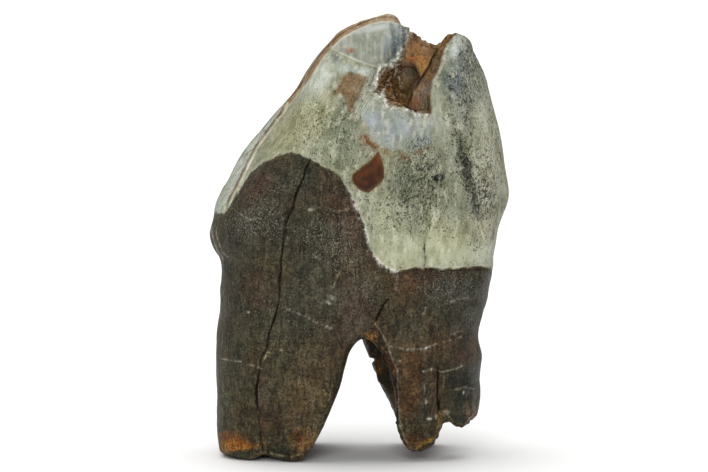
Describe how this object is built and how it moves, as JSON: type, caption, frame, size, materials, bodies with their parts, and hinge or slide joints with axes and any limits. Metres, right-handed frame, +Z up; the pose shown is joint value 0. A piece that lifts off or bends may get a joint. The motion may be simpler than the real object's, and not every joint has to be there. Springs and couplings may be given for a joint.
{
  "type": "fossil woolly rhino tooth",
  "caption": "Fossil upper cheek tooth of a woolly rhinoceros, with a high worn crown and broken roots that it stands on.",
  "frame": {"origin": "on the ground under the middle of the tooth's box, where it rests on its broken roots", "axes": "+X to the right of the front face, towards the cheek side; +Y from the front face to the back; +Z up, from the roots to the crown"},
  "size_m": [0.0606, 0.0442, 0.0896],
  "materials": {
    "fossil_tooth": "mineral-stained fossil: dark brown root cement with a soft sheen, grey and cream enamel, rusty stains"
  },
  "bodies": {
    "root": {"tooth": "fossil_tooth"}
  },
  "joints": []
}
